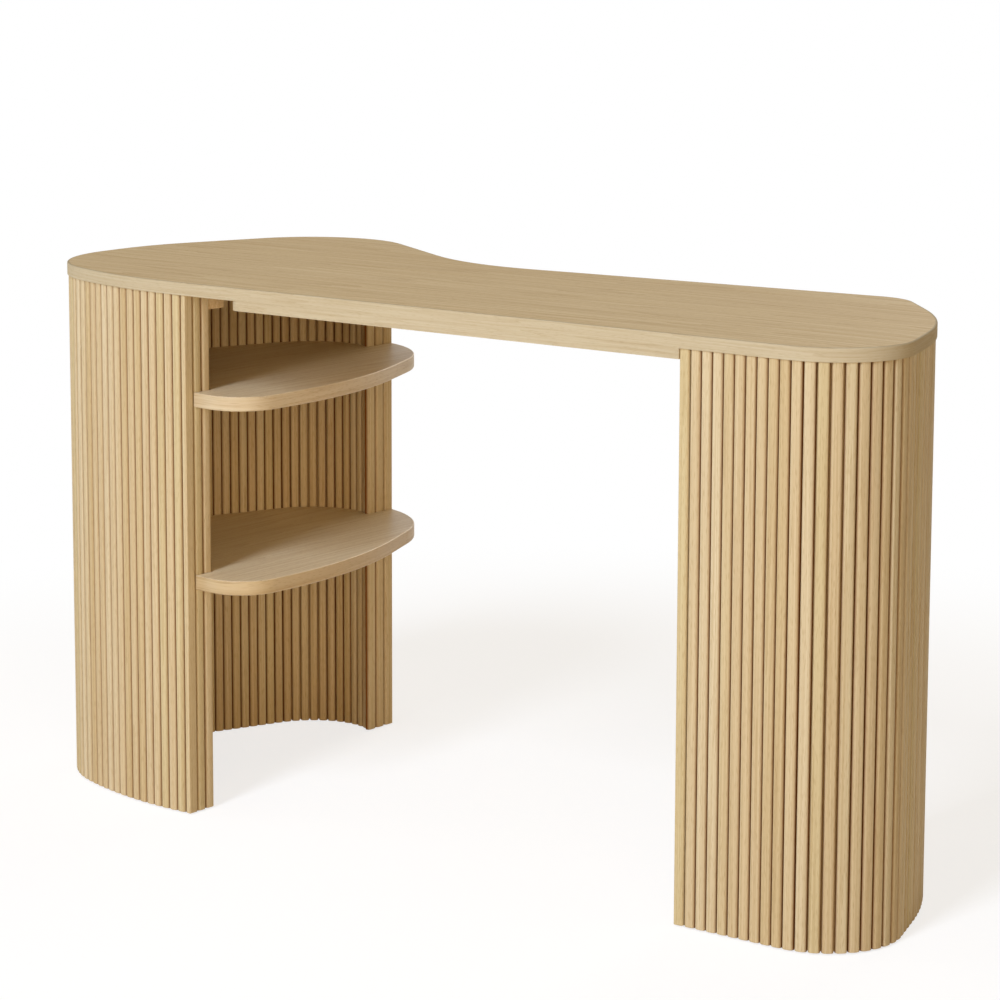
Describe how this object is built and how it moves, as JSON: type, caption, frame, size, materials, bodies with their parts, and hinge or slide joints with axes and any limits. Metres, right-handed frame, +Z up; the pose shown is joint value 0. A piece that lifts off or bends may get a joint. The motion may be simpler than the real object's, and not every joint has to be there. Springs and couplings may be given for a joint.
{
  "type": "desk",
  "caption": "Bean-shaped wooden writing desk on curved slatted pedestals, an open one with bowed shelves and a closed column, with a knee space between.",
  "frame": {"origin": "on the floor under the middle of the top's bounding box", "axes": "+X along the desk to the closed pedestal, +Y from the straight long edge to the waisted edge, +Z up"},
  "size_m": [1.4512, 0.5892, 0.76],
  "materials": {
    "slat_oak": "matt lacquer",
    "oak_veneer": "matt lacquer",
    "solid_oak": "matt lacquer",
    "plywood": "raw",
    "beech_dowel": "raw",
    "zinc_steel": "zinc plated",
    "glide_plastic": "moulded"
  },
  "bodies": {
    "root": {"front_rail": "solid_oak", "front_rail_screws": "zinc_steel", "left_back_fixing_block": "solid_oak", "left_far_corner_slat": "slat_oak", "left_far_end_slats": "slat_oak", "left_far_fixing_block": "solid_oak", "left_fixing_block_screws": "zinc_steel", "left_glide_nails": "zinc_steel", "left_glide_pads": "glide_plastic", "left_inner_slats": "slat_oak", "left_lower_shelf": "oak_veneer", "left_lower_shelf_dowels": "beech_dowel", "left_near_corner_slat": "slat_oak", "left_near_end_slats": "slat_oak", "left_near_fixing_block": "solid_oak", "left_outer_slats": "slat_oak", "left_top_dowels": "beech_dowel", "left_upper_shelf": "oak_veneer", "left_upper_shelf_dowels": "beech_dowel", "left_wall_core": "plywood", "right_base_plate": "plywood", "right_far_corner_slat": "slat_oak", "right_glide_nails": "zinc_steel", "right_glide_pads": "glide_plastic", "right_knee_panel": "plywood", "right_knee_slats": "slat_oak", "right_mid_rib": "plywood", "right_near_corner_slat": "slat_oak", "right_outer_slats": "slat_oak", "right_panel_screws": "zinc_steel", "right_plate_screws": "zinc_steel", "right_top_dowels": "beech_dowel", "right_top_plate": "plywood", "right_top_plate_screws": "zinc_steel", "right_wall_core": "plywood", "top_edge_band": "solid_oak", "top_panel": "oak_veneer"}
  },
  "joints": []
}
